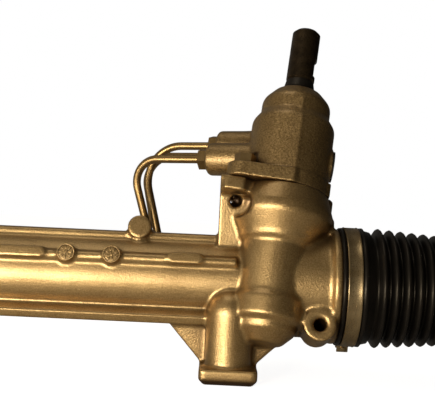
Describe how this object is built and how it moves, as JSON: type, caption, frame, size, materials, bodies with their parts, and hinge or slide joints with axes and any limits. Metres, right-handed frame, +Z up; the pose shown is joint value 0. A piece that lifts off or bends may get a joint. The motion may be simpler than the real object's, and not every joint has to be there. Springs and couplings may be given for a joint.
{
  "type": "power steering rack",
  "caption": "Hydraulic rack-and-pinion steering gear: cast housing with valve tower, pipes, bellows and inner tie rods that slide as the input shaft turns.",
  "frame": {"origin": "centre of the right foot's bolt hole, on the foot's mounting face", "axes": "+X along the rack to the pinion's bellows end, +Y to the back, +Z up, away from the mounting face"},
  "size_m": [1.153, 0.1369, 0.2513],
  "materials": {
    "cast_housing": "sand-cast aluminium under a warm gold-bronze coat",
    "coated_steel": "zinc-plated steel with a warm yellow passivate",
    "bright_steel": "ground steel",
    "dark_shaft": "dark phosphated steel",
    "black_rubber": "moulded rubber",
    "clamp_band": "steel band, dulled",
    "bearing_steel": "ground bearing steel",
    "seal_plastic": "filled PTFE",
    "white_plastic": "acetal",
    "black_plastic": "moulded plug"
  },
  "bodies": {
    "housing": {"rack_housing": "cast_housing", "valve_housing": "cast_housing", "valve_housing_bolts": "coated_steel", "supply_port_plug": "black_plastic", "pinion_lower_bearing": "bearing_steel", "pinion_upper_bearing": "bearing_steel", "input_shaft_bearing": "bearing_steel", "input_shaft_seal": "black_rubber", "dust_seal": "black_rubber", "inner_cylinder_seal": "black_rubber", "cylinder_end_bush": "coated_steel", "end_bush_seal": "black_rubber", "end_bush_o_ring": "black_rubber", "end_retaining_ring": "bright_steel", "rack_support_bush": "white_plastic", "yoke": "cast_housing", "yoke_liner": "seal_plastic", "yoke_spring": "bright_steel", "yoke_adjuster_plug": "coated_steel", "yoke_lock_nut": "coated_steel", "short_cylinder_pipe": "coated_steel", "long_cylinder_pipe": "coated_steel", "return_pipe": "coated_steel", "pipe_nuts": "coated_steel", "bellows_right": "black_rubber", "large_clamp_right": "clamp_band", "bellows_left": "black_rubber", "large_clamp_left": "clamp_band"},
    "rack": {"rack_bar": "bright_steel", "piston": "bright_steel", "piston_ring": "seal_plastic", "piston_retaining_rings": "bright_steel", "ball_socket_right": "coated_steel", "lock_washer_right": "bright_steel", "ball_socket_left": "coated_steel", "lock_washer_left": "bright_steel"},
    "pinion": {"pinion_shaft": "bright_steel", "valve_sleeve": "bright_steel", "sleeve_rings": "seal_plastic", "torsion_bar": "bright_steel"},
    "input": {"input_shaft": "dark_shaft", "cross_pin": "bright_steel"},
    "cup_right": {"ball_cup_right": "white_plastic"},
    "tie_rod_right": {"tie_rod_right": "bright_steel", "jam_nut_right": "coated_steel", "small_clamp_right": "clamp_band"},
    "cup_left": {"ball_cup_left": "white_plastic"},
    "tie_rod_left": {"tie_rod_left": "bright_steel", "jam_nut_left": "coated_steel", "small_clamp_left": "clamp_band"}
  },
  "joints": [
    {"name": "rack_slide", "type": "slide", "parent": "housing", "child": "rack", "axis": [1, 0, 0], "range_m": [-0.07, 0.07], "deforming": ["bellows_right", "bellows_left"]},
    {"name": "pinion_turn", "type": "hinge", "parent": "housing", "child": "pinion", "pos_m": [0.0277, 0.00836, 0.07041], "axis": [0.1115, 0.3071, 0.9451], "range_deg": [-520, 520]},
    {"name": "torsion_bar_twist", "type": "hinge", "parent": "pinion", "child": "input", "pos_m": [0.0277, 0.00836, 0.07041], "axis": [0.1115, 0.3071, 0.9451], "range_deg": [-6, 6], "stiffness_Nm_per_rad": 120},
    {"name": "tie_rod_sweep_right", "type": "hinge", "parent": "rack", "child": "cup_right", "pos_m": [0.184, 0.025, 0.065], "axis": [0, 0, 1], "range_deg": [-10, 10]},
    {"name": "tie_rod_swing_right", "type": "hinge", "parent": "cup_right", "child": "tie_rod_right", "pos_m": [0.184, 0.025, 0.065], "axis": [0, -1, 0], "range_deg": [-20, 20]},
    {"name": "tie_rod_sweep_left", "type": "hinge", "parent": "rack", "child": "cup_left", "pos_m": [-0.459, 0.025, 0.065], "axis": [0, 0, 1], "range_deg": [-10, 10]},
    {"name": "tie_rod_swing_left", "type": "hinge", "parent": "cup_left", "child": "tie_rod_left", "pos_m": [-0.459, 0.025, 0.065], "axis": [0, 1, 0], "range_deg": [-20, 20]}
  ],
  "couplings": [
    {"joint": "pinion_turn", "follows": "rack_slide", "rad_per_m": -125.71}
  ]
}
